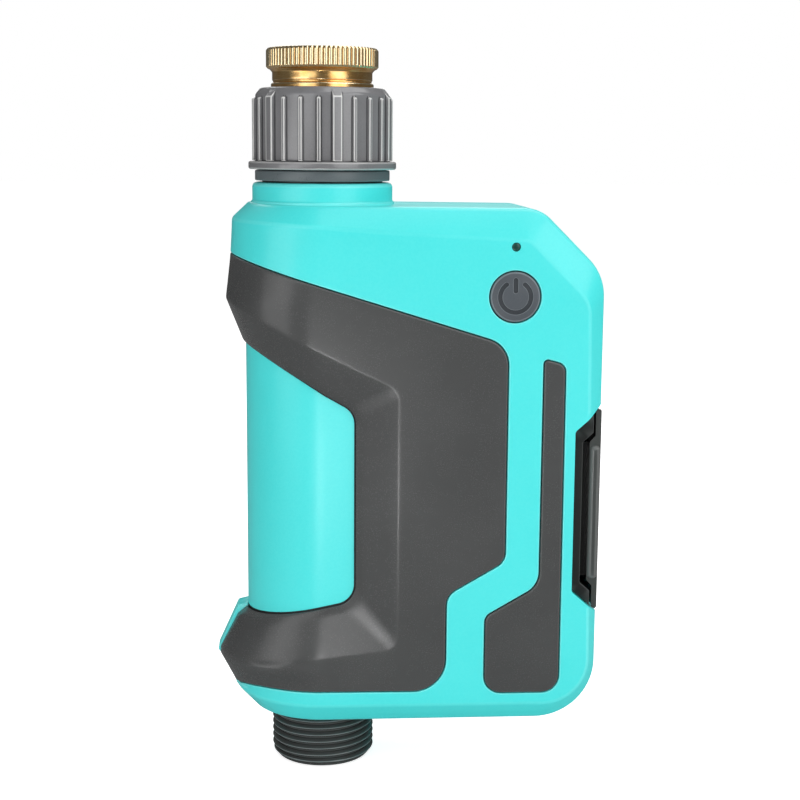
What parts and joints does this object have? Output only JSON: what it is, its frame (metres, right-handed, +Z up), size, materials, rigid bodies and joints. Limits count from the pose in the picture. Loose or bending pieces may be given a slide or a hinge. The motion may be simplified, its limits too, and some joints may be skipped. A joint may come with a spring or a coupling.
{
  "type": "garden hose water timer",
  "caption": "Tap-mounted hose timer: upright beveled case with hand grips, turning nut and brass tap adapter above, threaded hose outlet below, standby button, pull-out battery drawer.",
  "frame": {"origin": "centre of the tap thread's mouth in the brass adapter", "axes": "+Z up along the water column and out of the tap thread, +X from the column towards the battery drawer, -Y towards the front face with the button"},
  "size_m": [0.0956, 0.0455, 0.1816],
  "materials": {
    "case_turquoise": "satin moulded plastic",
    "grip_grey": "satin dark grey plastic",
    "door_grey": "satin near-black plastic",
    "nut_grey": "satin mid grey plastic",
    "ring_grey": "satin blue-grey plastic",
    "valve_plastic": "satin black plastic",
    "part_black": "fine matt black plastic",
    "frame_grey": "plain grey plastic",
    "brass": "turned and polished",
    "steel": "plated steel",
    "ball_chrome": "polished",
    "seat_white": "smooth white",
    "gear_ivory": "natural acetal",
    "seal_rubber": "soft black rubber",
    "board_green": "lacquered board",
    "light_clear": "clear light guide",
    "cell_wrap": "plain printed film"
  },
  "bodies": {
    "timer": {"inlet_filter": "steel", "glide_ring": "ring_grey", "inlet_spigot": "valve_plastic", "neck_collar": "case_turquoise", "outlet_spout": "valve_plastic", "valve_housing": "valve_plastic", "upper_seat": "seat_white", "lower_seat": "seat_white", "stem_seal": "seal_rubber", "spigot_seal": "seal_rubber", "flange_screws": "steel", "compound_axle": "steel", "valve_motor": "steel", "gear_frame": "frame_grey", "main_board": "board_green", "radio_module": "steel", "board_screws": "steel", "button_switch": "part_black", "button_gasket": "seal_rubber", "light_window": "light_clear", "status_light": "seat_white", "front_shell": "case_turquoise", "rear_shell": "case_turquoise", "case_gasket": "seal_rubber", "case_screws": "steel", "front_grip": "grip_grey", "rear_grip": "grip_grey", "front_slim_trim": "grip_grey", "rear_slim_trim": "grip_grey", "battery_sleeve": "frame_grey", "battery_bezel": "part_black", "contact_block": "brass"},
    "nut": {"swivel_nut": "nut_grey"},
    "adapter": {"brass_adapter": "brass", "adapter_washer": "seal_rubber"},
    "button": {"power_button": "grip_grey", "switch_plunger": "part_black"},
    "drawer": {"battery_tray": "part_black", "drawer_door": "door_grey", "drawer_seal": "seal_rubber", "battery_cells": "cell_wrap", "tray_contacts": "steel"},
    "valve": {"valve_ball": "ball_chrome", "valve_stem": "steel", "output_gear": "gear_ivory"},
    "compound": {"compound_gear": "gear_ivory"},
    "rotor": {"motor_pinion": "brass", "motor_shaft": "steel"}
  },
  "joints": [
    {"name": "nut_turn", "type": "hinge", "parent": "timer", "child": "nut", "pos_m": [0, 0, -0.0191], "axis": [0, 0, 1], "continuous": true},
    {"name": "adapter_lift", "type": "slide", "parent": "nut", "child": "adapter", "axis": [0, 0, 1], "range_m": [0, 0.014]},
    {"name": "button_press", "type": "slide", "parent": "timer", "child": "button", "axis": [0, 1, 0], "range_m": [0, 0.0006], "stiffness_N_per_m": 800, "springref_m": -0.0005},
    {"name": "drawer_slide", "type": "slide", "parent": "timer", "child": "drawer", "axis": [1, 0, 0], "range_m": [0, 0.051]},
    {"name": "valve_turn", "type": "hinge", "parent": "timer", "child": "valve", "pos_m": [0, 0, -0.0621], "axis": [1, 0, 0], "range_deg": [0, 90]},
    {"name": "compound_turn", "type": "hinge", "parent": "timer", "child": "compound", "pos_m": [0, 0.006, -0.07693], "axis": [1, 0, 0], "range_deg": [-271, 1]},
    {"name": "rotor_turn", "type": "hinge", "parent": "timer", "child": "rotor", "pos_m": [0, 0.0005, -0.06406], "axis": [1, 0, 0], "range_deg": [-2, 677]}
  ],
  "couplings": [
    {"joint": "compound_turn", "follows": "valve_turn", "ratio": -3},
    {"joint": "rotor_turn", "follows": "valve_turn", "ratio": 7.5}
  ]
}
